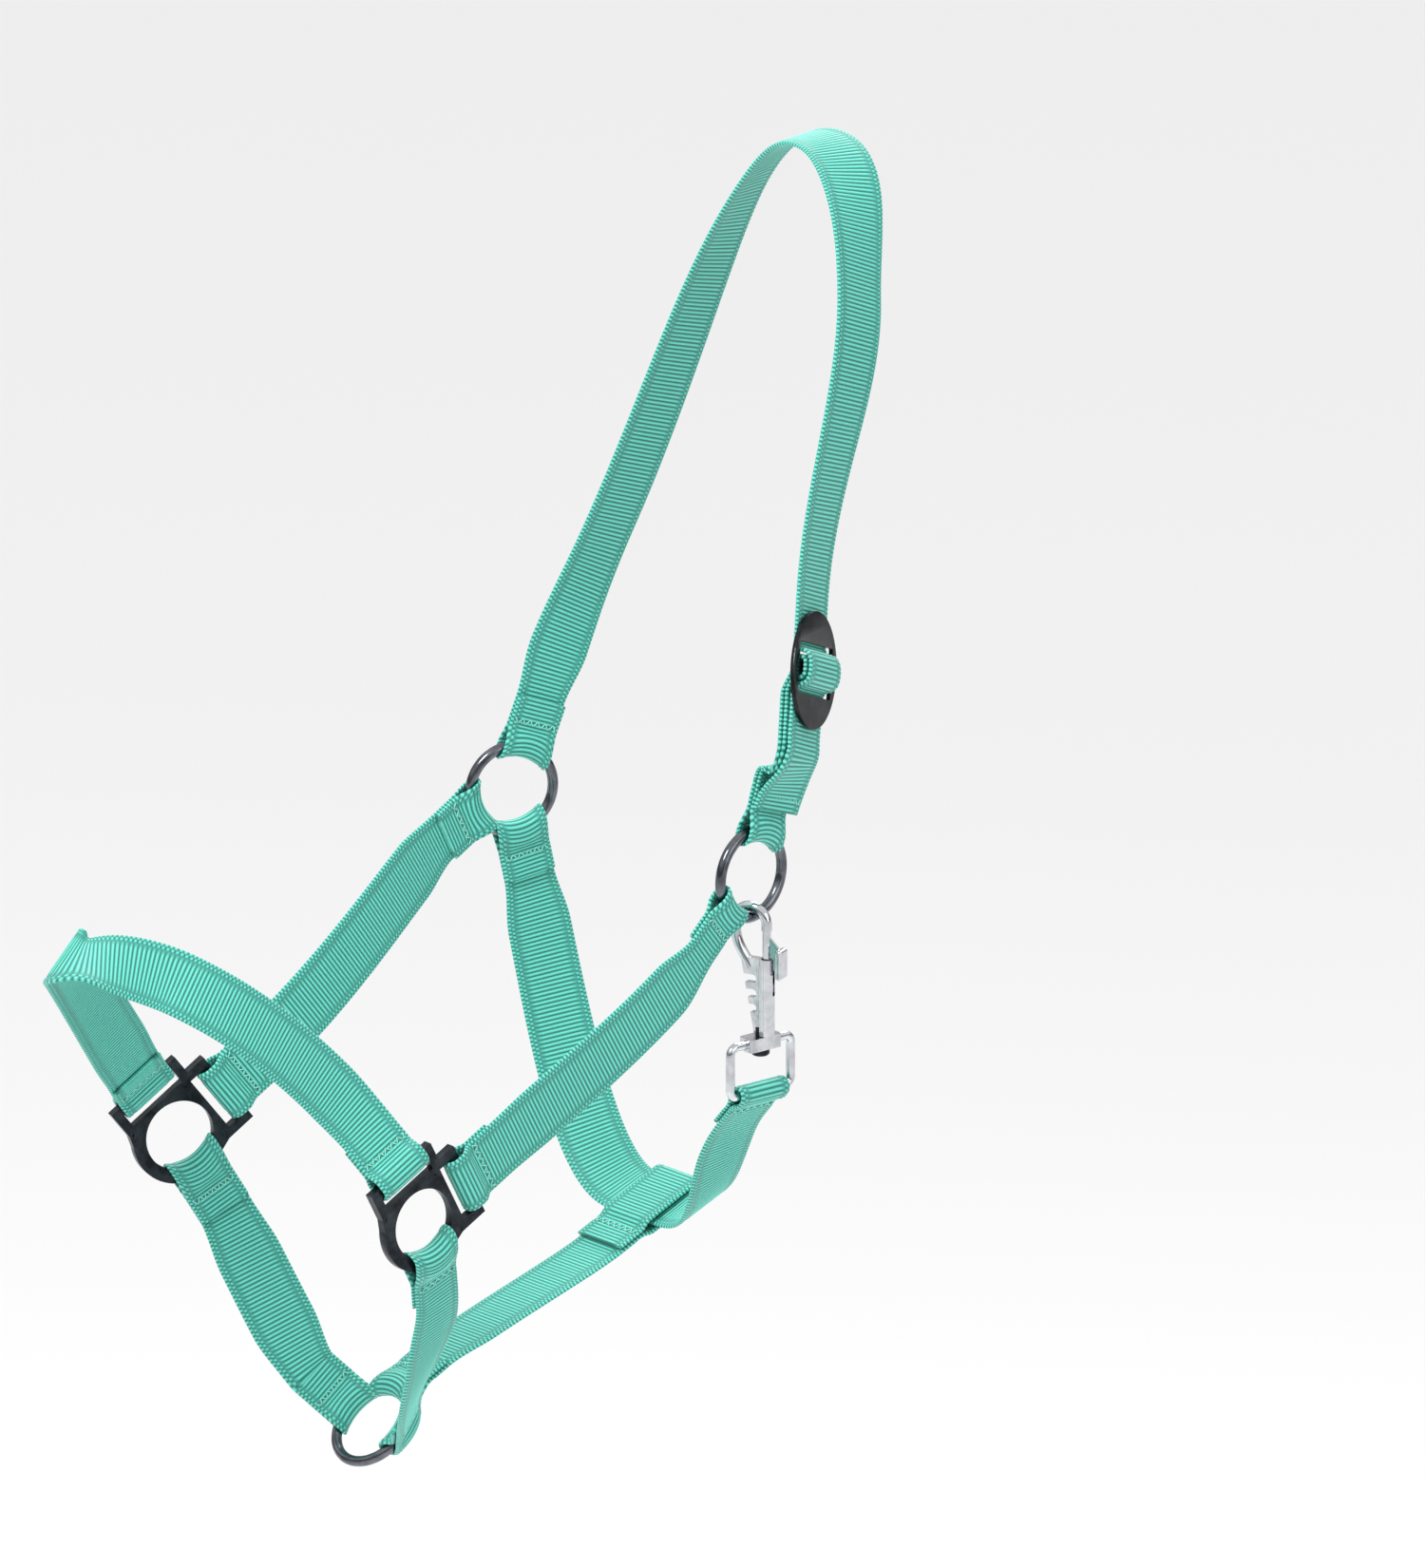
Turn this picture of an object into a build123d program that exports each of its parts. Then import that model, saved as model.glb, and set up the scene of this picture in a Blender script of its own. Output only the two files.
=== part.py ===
from build123d import *
import os
from math import ceil, cos, radians, sin, sqrt

# A horse's head halter of flat webbing, shaped as it is worn: the nose points to -X, the
# horse's left side (the near side, where it is buckled) is at -Y, and +Z is up.
# The origin is on the poll, where the crown strap lies behind the ears at the top of its arch.
# All sizes are in millimetres.

# Webbing
WEBBING_WIDTH = 25.0
WEBBING_THICKNESS = 2.0
SEWN_LENGTH = 16.0          # from the hardware's pocket to the end of the second layer
PINCH_LENGTH = 5.0          # run in which the two layers close up behind the hardware
GATHER_LENGTH = 22.0        # run in which the webbing widens from a gathered fold
CLEARANCE = 0.3             # between webbing and the hardware that sits in it
STATION_SPACING = 9.0       # between the straight cross-sections that a strap is lofted through

# Round rings
RING_WIRE = 4.0
RING_INNER_DIAMETER = 29.0
RING_RADIUS = (RING_INNER_DIAMETER + RING_WIRE) / 2
RING_FOLD_WIDTH = 16.0

# Halter squares: a flat casting with a round hole and two strap slots at 45 degrees
SQUARE_THICKNESS = 3.6
SQUARE_HOLE_RADIUS = 13.4
SQUARE_BAND_RADIUS = 18.5
SQUARE_BAR = 3.6
SLOT_NEAR_EDGE = 16.0       # from the hole's centre
SLOT_HEIGHT = 5.8
SLOT_LENGTH = 24.4
SLOT_SHIFT = 1.3            # the slots sit a little towards the horns
FRAME_BORDER = 3.8
FRAME_ROOT = 13.5
HORN_VALLEY_RADIUS = 3.5
HORN_VALLEY_HEIGHT = 31.5
SLOT_FOLD_WIDTH = 23.6
CHIN_FOLD_WIDTH = 18.0

# Oval crown slide
SLIDE_HEIGHT = 44.0
SLIDE_WIDTH = 35.0
SLIDE_THICKNESS = 1.8
SLIDE_BAR = 5.0
SLIDE_SLOT = 7.0
SLIDE_SLOT_LENGTH = 26.4
LAYER_GAP = 0.3             # between two straps that lie on each other

# Snap hook on the throat strap, measured up from the foot of its body
SNAP_BODY_HEIGHT = 29.5
SNAP_PLATE_THICKNESS = 3.0
SNAP_TOP_WIDTH = 12.0
SNAP_FOOT_WIDTH = 7.5
BARREL_DIAMETER = 6.0
BARREL_BORE = 4.2
BARREL_FLOOR = 4.0
BARREL_OFFSET = 2.6
BOLT_DIAMETER = 3.2
BOLT_COLLAR = 3.9
BOLT_COLLAR_HEIGHT = 3.0
BOLT_TRAVEL = 8.0
SPRING_WIRE = 0.5
SPRING_DIAMETER = 3.4
SPRING_TURNS = 7
HOOK_WIRE = 4.0
HOOK_TIP_HEIGHT = 40.5
HOOK_ROOT_OFFSET = -4.5     # of the bow's foot in the plate, from the snap's axis
HOOK_LOOP_WIDTH = 13.0      # between the middles of the bow's two legs
TAB_HEIGHT = 11.5
TAB_THICKNESS = 2.8
TAB_DEPTH = 6.0
LEVER_THICKNESS = 1.0
FINGER_SLOT_HEIGHT = 3.2
FINGER_SLOT_PITCH = 5.7
RIVET_DIAMETER = 4.0
RIVET_HEAD_DIAMETER = 7.0
RIVET_HEAD_HEIGHT = 2.4
SWIVEL_GAP = 0.3
EYE_WIRE = 3.4
EYE_INNER_WIDTH = 25.6
EYE_INNER_HEIGHT = 15.0
EYE_BLOCK_HEIGHT = 5.0
EYE_BLOCK_WIDTH = 15.0
EYE_BLOCK_DEPTH = 7.5
EYE_CORNER_RADIUS = 3.0
EYE_FOLD_WIDTH = 23.2

# Where the hardware hangs, as seen from the side, measured from the poll
HALF_NOSE = 69.0
RING_PLACE = (-92.0, -248.0)
NEAR_SQUARE_PLACE = (-250.5, -350.0)
FAR_SQUARE_PLACE = (-252.3, -349.5)
LEAD_RING_PLACE = (-216.0, -452.0)
THROAT_LOW_PLACE = (-80.0, -393.0)
SLIDE_PLACE = (-64.5, -72.0, -174.0)
CROWN_FAR_PLACE = (-50.0, 61.0, -150.0)
NOSE_FRONT_PLACE = (-359.5, 5.0, -243.0)
CROWN_NEAR_PLACE = (-19.0, -44.0, -44.5)

# How the hardware is turned: yaw about the vertical, tilt back in its own plane
NEAR_RING_YAW = -7.0
FAR_RING_YAW = 18.0
FAR_SQUARE_YAW = 18.0
NEAR_SQUARE_TILT = 17.0
FAR_SQUARE_TILT = 7.0
LEAD_RING_PITCH = 46.0
SNAP_YAW = 67.0


# ---------------------------------------------------------------- frames and directions

def side_plane(place, side, yaw=0.0, tilt=0.0):
    """Plane of a piece on one side of the head: x runs back, y up, z towards the near side."""
    facing = Vector(-sin(radians(yaw)), -cos(radians(yaw)), 0)
    level = Vector(0, 0, 1).cross(facing)
    tilted = level * cos(radians(tilt)) - Vector(0, 0, 1) * sin(radians(tilt))
    return Plane(origin=(place[0], side * HALF_NOSE, place[1]), x_dir=tilted, z_dir=facing)


def in_plane(plane, angle):
    """Direction in a plane, at an angle in degrees from its x axis."""
    return plane.x_dir * cos(radians(angle)) + plane.y_dir * sin(radians(angle))


def square_to(vector, direction):
    """The part of a vector that is square to a direction, at unit length."""
    return (vector - direction * vector.dot(direction)).normalized()


NEAR_RING = side_plane(RING_PLACE, -1, NEAR_RING_YAW)
FAR_RING = side_plane(RING_PLACE, 1, FAR_RING_YAW)
NEAR_SQUARE = side_plane(NEAR_SQUARE_PLACE, -1, tilt=NEAR_SQUARE_TILT)
FAR_SQUARE = side_plane(FAR_SQUARE_PLACE, 1, FAR_SQUARE_YAW, FAR_SQUARE_TILT)
LEAD_BACK = Vector(cos(radians(LEAD_RING_PITCH)), 0, sin(radians(LEAD_RING_PITCH)))
LEAD_RING = Plane(
    origin=(LEAD_RING_PLACE[0], 0, LEAD_RING_PLACE[1]),
    x_dir=LEAD_BACK,
    z_dir=LEAD_BACK.cross(Vector(0, 1, 0)),
)
THROAT_LOW = Vector(THROAT_LOW_PLACE[0], 0, THROAT_LOW_PLACE[1])


# ---------------------------------------------------------------- webbing

def loop_end(centre, pull, outer, back, front, gap, width, double=False):
    """The sewn end of a strap: a pocket round a bar, then two layers lying on each other.

    The bar's centre is at the centre. The strap leaves along pull, and outer is the side
    of the layer that carries on. The pocket is open from back to front, and gap each side.
    """
    outer = square_to(outer, pull)
    across = pull.cross(outer)
    thick = WEBBING_THICKNESS
    bulge = gap + thick
    arc_centre = gap - back
    sewn = front + SEWN_LENGTH
    pinch = front + PINCH_LENGTH
    outline = [
        Polyline((arc_centre, -bulge), (front, -bulge), (pinch, -thick), (sewn, -thick)),
        Line((sewn, -thick), (sewn, thick)),
        Polyline((sewn, thick), (pinch, thick), (front, bulge), (arc_centre, bulge)),
        ThreePointArc((arc_centre, bulge), (arc_centre - bulge, 0), (arc_centre, -bulge)),
    ]
    pocket = [
        Polyline((arc_centre, -gap), (front, -gap), (pinch - 1, 0), (front, gap), (arc_centre, gap)),
        ThreePointArc((arc_centre, gap), (arc_centre - gap, 0), (arc_centre, -gap)),
    ]
    profile = make_face(outline) - make_face(pocket)
    plane = Plane(origin=centre, x_dir=pull, z_dir=across)
    solid = extrude(plane * profile, amount=width / 2, both=True)
    rise = 0 if double else thick / 2
    leave = centre + pull * sewn + outer * rise
    return {"solid": solid, "point": leave, "pull": pull, "outer": outer, "width": width}


def ring_loop(ring, angle, facing, tilt=0.0, double=False):
    """A strap's end round the wire of a ring, at an angle in the ring's plane.

    Facing is 1 where the strap's outer side is on the plane's z side, or else -1.
    Tilt lifts the strap out of the plane, towards the plane's z axis.
    """
    radial = in_plane(ring, angle)
    pull = radial * cos(radians(tilt)) + ring.z_dir * sin(radians(tilt))
    half_chord = sqrt(RING_RADIUS**2 - (RING_FOLD_WIDTH / 2) ** 2)
    sagitta = RING_RADIUS - half_chord
    room = RING_WIRE / 2 + CLEARANCE
    slanted_room = RING_WIRE / 2 * RING_RADIUS / half_chord + CLEARANCE
    depth = sagitta * sin(radians(tilt))
    gap = room + abs(depth) / 2
    lift = ring.z_dir * cos(radians(tilt)) - radial * sin(radians(tilt))
    centre = ring.origin + radial * RING_RADIUS + lift * (depth / 2)
    back = gap - room + slanted_room + sagitta * cos(radians(tilt))
    return loop_end(centre, pull, ring.z_dir * facing, back, room, gap, RING_FOLD_WIDTH, double)


def slot_loop(square, side, facing, tilt=0.0):
    """A strap's end round the outer bar of a halter square: side -1 in front, 1 behind."""
    radial = in_plane(square, 90 - 45 * side)
    pull = radial * cos(radians(tilt)) + square.z_dir * sin(radians(tilt))
    along = in_plane(square, 90 + 45 * side)
    bar_offset = SLOT_NEAR_EDGE + SLOT_HEIGHT + SQUARE_BAR / 2
    centre = square.origin + radial * bar_offset + along * SLOT_SHIFT
    room = SQUARE_BAR / 2 * sqrt(2) + CLEARANCE
    return loop_end(centre, pull, square.z_dir * facing, room, room, room, SLOT_FOLD_WIDTH)


def chin_loop(square, angle, facing, tilt):
    """The chin strap's end round the bottom of a halter square's round band."""
    radial = in_plane(square, angle)
    pull = radial * cos(radians(tilt)) + square.z_dir * sin(radians(tilt))
    lift = square.z_dir * cos(radians(tilt)) - radial * sin(radians(tilt))
    band_middle = (SQUARE_HOLE_RADIUS + SQUARE_BAND_RADIUS) / 2
    half_band = SQUARE_BAND_RADIUS - band_middle
    inner = band_middle - sqrt(SQUARE_HOLE_RADIUS**2 - (CHIN_FOLD_WIDTH / 2) ** 2)
    depth = inner * sin(radians(tilt))
    half_height = SQUARE_THICKNESS / 2 + half_band * abs(sin(radians(tilt)))
    gap = half_height + CLEARANCE + abs(depth) / 2
    centre = square.origin + radial * band_middle + lift * (depth / 2)
    back = inner + CLEARANCE + gap / 2
    front = half_band + CLEARANCE
    return loop_end(centre, pull, square.z_dir * facing, back, front, gap, CHIN_FOLD_WIDTH)


def bezier(points, t):
    """A point on a cubic curve."""
    a, b, c, d = points
    s = 1 - t
    return a * s**3 + b * (3 * s**2 * t) + c * (3 * s * t**2) + d * t**3


def bezier_slope(points, t):
    """The direction of a cubic curve."""
    a, b, c, d = points
    s = 1 - t
    slope = (b - a) * (3 * s**2) + (c - b) * (6 * s * t) + (d - c) * (3 * t**2)
    return slope.normalized()


def knot(point, direction, outer, before, after):
    """A place that a strap passes: where, which way, its outer side, and its two handles."""
    direction = Vector(direction).normalized()
    outer = square_to(Vector(outer), direction)
    return {"point": Vector(point), "way": direction, "outer": outer, "before": before, "after": after}


def leaving(loop, handle):
    return knot(loop["point"], loop["pull"], loop["outer"], handle, handle)


def arriving(loop, handle):
    return knot(loop["point"], loop["pull"] * -1, loop["outer"], handle, handle)


def stations(knots, spacing=STATION_SPACING):
    """Points along a strap, each with its direction and outer side."""
    found = []
    for first, last in zip(knots, knots[1:]):
        a, d = first["point"], last["point"]
        cubic = (a, a + first["way"] * first["after"], d - last["way"] * last["before"], d)
        length = sum((bezier(cubic, (i + 1) / 8) - bezier(cubic, i / 8)).length for i in range(8))
        steps = max(2, ceil(length / spacing))
        begin = 1 if found else 0
        for i in range(begin, steps + 1):
            t = i / steps
            ease = t * t * (3 - 2 * t)
            way = bezier_slope(cubic, t)
            outer = square_to(first["outer"] * (1 - ease) + last["outer"] * ease, way)
            found.append((bezier(cubic, t), way, outer))
    return found


def gathered(width, distance):
    """The webbing's width at a distance from a fold of the given width."""
    ease = min(1.0, distance / GATHER_LENGTH)
    return width + (WEBBING_WIDTH - width) * ease


def ribbon(places, start_width, end_width, thickness=WEBBING_THICKNESS):
    """A flat strap lofted through rectangles at the stations."""
    travelled = [0.0]
    for (a, _, _), (b, _, _) in zip(places, places[1:]):
        travelled.append(travelled[-1] + (b - a).length)
    sections = []
    for (point, way, outer), distance in zip(places, travelled):
        from_start = gathered(start_width, distance)
        from_end = gathered(end_width, travelled[-1] - distance)
        plane = Plane(origin=point, x_dir=way.cross(outer), z_dir=way)
        sections.append(plane * Rectangle(min(from_start, from_end), thickness))
    return loft(sections, ruled=True)


def strap(start, end, start_handle, end_handle, middle=(), thickness=WEBBING_THICKNESS):
    """A strap with a sewn loop at both ends."""
    knots = [leaving(start, start_handle), *middle, arriving(end, end_handle)]
    body = ribbon(stations(knots), start["width"], end["width"], thickness)
    return start["solid"] + body + end["solid"]


# ---------------------------------------------------------------- straps

NEAR_SIDE = Vector(0, -1, 0)
UP = Vector(0, 0, 1)
NOSE_FRONT_WAY = (0.613, 0.731, -0.301)
NOSE_FRONT_OUTER = (-0.52, 0.66, 0.54)
NOSE_BRIDGE_PLACE = (-331, -28, -251.5)     # half way from the near square to the front
NOSE_BRIDGE_WAY = (-0.62, 0.67, 0.4)
NOSE_BRIDGE_OUTER = (-0.5, -0.65, 0.57)
NEAR_NOSE_TILT = -30.0
FAR_NOSE_TILT = 42.0
NEAR_CHIN_ANGLE = -53.0     # of the chin straps round the squares' bands
FAR_CHIN_ANGLE = -53.0
NEAR_CHIN_TILT = -18.0
FAR_CHIN_TILT = 8.0
NEAR_LEAD_ANGLE = -82.0     # of the chin straps round the lead ring, from the connecting strap
FAR_LEAD_ANGLE = 78.0
NEAR_LEAD_TILT = 50.0
FAR_LEAD_TILT = 55.0
CONNECTING_TILT = -20.0
CROWN_ANGLE = 70.0
NEAR_CHEEK_ANGLE = 220.0
FAR_CHEEK_ANGLE = 203.0
THROAT_ANGLE = 282.0
NEAR_CHEEK_TILT = 0.0
FAR_CHEEK_TILT = 28.0


def noseband():
    """Over the nose, from the near square's front slot to the far square's."""
    front = knot(NOSE_FRONT_PLACE, NOSE_FRONT_WAY, NOSE_FRONT_OUTER, before=20, after=45)
    bridge = knot(NOSE_BRIDGE_PLACE, NOSE_BRIDGE_WAY, NOSE_BRIDGE_OUTER, before=30, after=20)
    start = slot_loop(NEAR_SQUARE, -1, 1, NEAR_NOSE_TILT)
    end = slot_loop(FAR_SQUARE, -1, -1, FAR_NOSE_TILT)
    return strap(start, end, start_handle=30, end_handle=15, middle=[bridge, front])


def cheek_strap_near():
    start = slot_loop(NEAR_SQUARE, 1, 1, NEAR_CHEEK_TILT)
    end = ring_loop(NEAR_RING, NEAR_CHEEK_ANGLE, 1)
    return strap(start, end, start_handle=30, end_handle=30)


def cheek_strap_far():
    start = slot_loop(FAR_SQUARE, 1, -1)
    end = ring_loop(FAR_RING, FAR_CHEEK_ANGLE, -1, FAR_CHEEK_TILT)
    return strap(start, end, start_handle=45, end_handle=20)


def chin_strap_near():
    start = chin_loop(NEAR_SQUARE, NEAR_CHIN_ANGLE, 1, NEAR_CHIN_TILT)
    end = ring_loop(LEAD_RING, NEAR_LEAD_ANGLE, -1, NEAR_LEAD_TILT)
    return strap(start, end, start_handle=20, end_handle=20)


def chin_strap_far():
    start = chin_loop(FAR_SQUARE, FAR_CHIN_ANGLE, -1, FAR_CHIN_TILT)
    end = ring_loop(LEAD_RING, FAR_LEAD_ANGLE, -1, FAR_LEAD_TILT)
    return strap(start, end, start_handle=9, end_handle=8)


def throat_passage():
    """The sewn loop of the connecting strap, which the throat strap runs through."""
    pull = (LEAD_RING.origin - THROAT_LOW).normalized()
    room = WEBBING_WIDTH / 2 + 3 * CLEARANCE
    gap = WEBBING_THICKNESS / 2 + 2 * CLEARANCE
    return loop_end(THROAT_LOW, pull, UP * -1, room, room, gap, WEBBING_WIDTH)


def connecting_strap():
    start = ring_loop(LEAD_RING, 0, -1, CONNECTING_TILT)
    return strap(start, throat_passage(), start_handle=20, end_handle=16)


def throat_strap():
    """From the far ring down through the passage, where it runs straight, and up to the snap."""
    pull = (LEAD_RING.origin - THROAT_LOW).normalized()
    outer = square_to(UP * -1, pull)
    half_run = NEAR_SIDE * (WEBBING_WIDTH / 2 + 1)
    passage = [
        knot(THROAT_LOW - half_run, NEAR_SIDE, outer, before=30, after=5),
        knot(THROAT_LOW + half_run, NEAR_SIDE, outer, before=5, after=24),
    ]
    start = ring_loop(FAR_RING, THROAT_ANGLE, -1)
    return strap(start, eye_loop(), start_handle=48, end_handle=26, middle=passage)


SLIDE_UP = Vector(0.3, 0.27, 0.915).normalized()
SLIDE_OUT = square_to(Vector(0.36, -0.93, 0), SLIDE_UP)
SLIDE = Plane(origin=SLIDE_PLACE, x_dir=SLIDE_UP, z_dir=SLIDE_OUT)
TAIL_LENGTH = 54.0          # of the free end, below the slide's middle
TAIL_LIFT = 2.2             # of its tip, off the middle of the chape
CHAPE_ROOM = 0.5            # between the chape's fold and the slide's bar


def slide_knot(along, out, way, outer, before, after):
    """A knot in the slide's own plane: along its height and out from its middle."""
    point = SLIDE.origin + SLIDE_UP * along + SLIDE_OUT * out
    direction = SLIDE_UP * way[0] + SLIDE_OUT * way[1]
    side = SLIDE_UP * outer[0] + SLIDE_OUT * outer[1]
    return knot(point, direction, side, before, after)


def crown_strap():
    """From the far ring over the poll, through the slide and down to its free tail."""
    thick = WEBBING_THICKNESS
    behind = -(SLIDE_THICKNESS / 2 + LAYER_GAP + thick / 2)
    wrap_half = SLIDE_BAR / 2 + CHAPE_ROOM + thick + LAYER_GAP + thick / 2
    over = SLIDE_THICKNESS / 2 + CHAPE_ROOM + thick + LAYER_GAP + thick / 2
    to_ring = (NEAR_RING.origin - SLIDE.origin).normalized()
    tail_tip = SLIDE.origin + to_ring * TAIL_LENGTH + NEAR_RING.z_dir * TAIL_LIFT
    start = ring_loop(FAR_RING, CROWN_ANGLE, -1)
    knots = [
        leaving(start, 30),
        knot(CROWN_FAR_PLACE, (0.35, -0.2, 0.92), (0, 1, 0.1), 30, 80),
        knot((0, 0, thick / 2), (0, -1, -0.08), UP, 42, 22),
        knot(CROWN_NEAR_PLACE, (-0.33, -0.42, -0.85), (0.25, -0.9, 0.35), 22, 38),
        slide_knot(26, behind, (-1, 0), (0, 1), 45, 5),
        slide_knot(wrap_half + 5, behind, (-1, 0), (0, 1), 5, 3.4),
        slide_knot(wrap_half, 0.8, (-0.15, 1), (1, 0.15), 2, 2.4),
        slide_knot(0, over, (-1, 0), (0, 1), 4.6, 4.6),
        slide_knot(-wrap_half, 0.8, (-0.15, -1), (-1, 0.15), 2.4, 2),
        slide_knot(-wrap_half - 5, behind, (-1, 0), (0, 1), 3.4, 5),
        slide_knot(-25, behind - 0.2, (-1, 0), (0, 1), 5, 3),
        slide_knot(-32, behind - 0.5, (-1, -0.25), (-0.25, 1), 3, 7),
        knot(tail_tip, to_ring, NEAR_RING.z_dir, 12, 0),
    ]
    fine = stations(knots[4:], spacing=1.6)
    wide = stations(knots[:5])
    body = ribbon(wide + fine[1:], start["width"], WEBBING_WIDTH)
    return start["solid"] + body


def crown_chape():
    """The short double strap that ties the crown slide to the near ring."""
    thick = WEBBING_THICKNESS
    reach = SLIDE_BAR / 2 + CHAPE_ROOM
    gap = SLIDE_THICKNESS / 2 + CHAPE_ROOM
    bulge = gap + thick
    arc_centre = reach - gap
    top = -(SLIDE_THICKNESS / 2 + 2 * LAYER_GAP + thick)
    foot = top - 2 * thick
    turn = -reach - thick - 4
    stem_end = -26
    outline = [
        ThreePointArc((arc_centre, bulge), (arc_centre + bulge, 0), (arc_centre, -bulge)),
        Polyline((arc_centre, -bulge), (turn, foot), (stem_end, foot), (stem_end, top), (turn, top)),
        Polyline((turn, top), (-arc_centre - bulge, top + 0.6), (-arc_centre - bulge, -gap)),
        Line((-arc_centre - bulge, -gap), (-arc_centre - bulge, 0)),
        ThreePointArc(
            (-arc_centre - bulge, 0),
            (-arc_centre - bulge * sin(radians(45)), bulge * sin(radians(45))),
            (-arc_centre, bulge),
        ),
        Line((-arc_centre, bulge), (arc_centre, bulge)),
    ]
    bar_pocket = SlotCenterToCenter(2 * arc_centre, 2 * gap)
    profile = make_face(outline) - bar_pocket
    across = SLIDE_UP.cross(SLIDE_OUT)
    plane = Plane(origin=SLIDE.origin, x_dir=SLIDE_UP, z_dir=across)
    wrap = extrude(plane * profile, amount=WEBBING_WIDTH / 2, both=True)
    wrap_end = knot(
        SLIDE.origin + SLIDE_UP * stem_end + SLIDE_OUT * ((top + foot) / 2), SLIDE_UP * -1, SLIDE_OUT, 12, 12
    )
    end = ring_loop(NEAR_RING, CROWN_ANGLE, 1, double=True)
    places = stations([wrap_end, arriving(end, 12)])
    body = ribbon(places, WEBBING_WIDTH, end["width"], 2 * thick)
    return wrap + body + end["solid"]


# ---------------------------------------------------------------- rings, squares and slide

def ring(plane):
    return plane * Torus(RING_RADIUS, RING_WIRE / 2)


def halter_square(plane):
    """Round band with a framed strap slot on each shoulder, and two short horns between them."""
    frame_far = SLOT_NEAR_EDGE + SLOT_HEIGHT + SQUARE_BAR
    slot_middle = SLOT_NEAR_EDGE + SLOT_HEIGHT / 2
    frame_length = SLOT_LENGTH + 2 * FRAME_BORDER
    body = Circle(SQUARE_BAND_RADIUS)
    slots = []
    for side in (-1, 1):
        turn = Rot(0, 0, -45 * side)
        frame = Pos(SLOT_SHIFT * -side, (frame_far + FRAME_ROOT) / 2) * Rectangle(
            frame_length, frame_far - FRAME_ROOT
        )
        low_end = side * (frame_length / 2 - SLOT_SHIFT)
        gusset = Polygon(
            (low_end, frame_far), (low_end, FRAME_ROOT), (side * SQUARE_BAND_RADIUS * 0.98, 3.0),
            (side * SQUARE_HOLE_RADIUS, FRAME_ROOT), (low_end - side * FRAME_BORDER, frame_far),
            align=None,
        )
        body += turn * frame
        body += turn * gusset
        slots.append(turn * Pos(SLOT_SHIFT * -side, slot_middle) * Rectangle(SLOT_LENGTH, SLOT_HEIGHT))
    body -= Circle(SQUARE_HOLE_RADIUS)
    for slot in slots:
        body -= slot
    body -= Pos(0, HORN_VALLEY_HEIGHT) * Circle(HORN_VALLEY_RADIUS)
    return plane * extrude(body, amount=SQUARE_THICKNESS / 2, both=True)


def crown_slide():
    plate = Ellipse(SLIDE_HEIGHT / 2, SLIDE_WIDTH / 2)
    slot_middle = (SLIDE_BAR + SLIDE_SLOT) / 2
    for side in (-1, 1):
        plate -= Pos(side * slot_middle, 0) * RectangleRounded(SLIDE_SLOT, SLIDE_SLOT_LENGTH, 0.8)
    return SLIDE * extrude(plate, amount=SLIDE_THICKNESS / 2, both=True)


# ---------------------------------------------------------------- snap hook

# The near ring's lowest wire lies in the hook, under its inside top. The axis is vertical.
HOOK_INSIDE_TOP = HOOK_TIP_HEIGHT + 6.5
RING_LOW = NEAR_RING.origin - UP * RING_RADIUS
SNAP_TURN = radians(SNAP_YAW)
SNAP_SIDEWAYS = Vector(cos(SNAP_TURN), -sin(SNAP_TURN), 0)
SNAP_FOOT = (
    RING_LOW
    + SNAP_SIDEWAYS * (HOOK_LOOP_WIDTH / 2 - BARREL_OFFSET)
    - UP * (HOOK_INSIDE_TOP - RING_WIRE / 2 - CLEARANCE)
)
SNAP = Plane(origin=SNAP_FOOT, x_dir=SNAP_SIDEWAYS, z_dir=(-sin(SNAP_TURN), -cos(SNAP_TURN), 0))
EYE = Plane(origin=SNAP_FOOT, x_dir=(1, 0, 0), z_dir=(0, -1, 0))
EYE_BAR_DROP = SWIVEL_GAP + EYE_BLOCK_HEIGHT + EYE_INNER_HEIGHT + EYE_WIRE / 2


def snap_body():
    """Flat tapered plate with finger slots, the bolt's barrel down one edge and the hook's bow."""
    right = BARREL_OFFSET + BARREL_DIAMETER / 2
    plate = Polygon(
        (right - SNAP_TOP_WIDTH - 1, SNAP_BODY_HEIGHT), (right - 1, SNAP_BODY_HEIGHT), (right - 1, 0),
        (right - SNAP_FOOT_WIDTH, 0),
        align=None,
    )
    for i in range(3):
        height = SNAP_BODY_HEIGHT - 8 - i * FINGER_SLOT_PITCH
        plate -= Pos(-8, height) * RectangleRounded(14, FINGER_SLOT_HEIGHT, FINGER_SLOT_HEIGHT / 2.1)
    body = extrude(plate, amount=SNAP_PLATE_THICKNESS / 2, both=True)
    barrel_plane = Plane(origin=(BARREL_OFFSET, 0, 0), z_dir=(0, 1, 0))
    body += barrel_plane * extrude(Circle(BARREL_DIAMETER / 2), amount=SNAP_BODY_HEIGHT)
    body += hook_bow()
    bore = Plane(origin=(BARREL_OFFSET, BARREL_FLOOR, 0), z_dir=(0, 1, 0))
    body -= bore * extrude(Circle(BARREL_BORE / 2), amount=SNAP_BODY_HEIGHT)
    foot_bore = Plane(origin=(0, -1, 0), z_dir=(0, 1, 0))
    body -= foot_bore * extrude(Circle(RIVET_DIAMETER / 2), amount=BARREL_FLOOR)
    body -= barrel_slit()
    return SNAP * body


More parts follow.
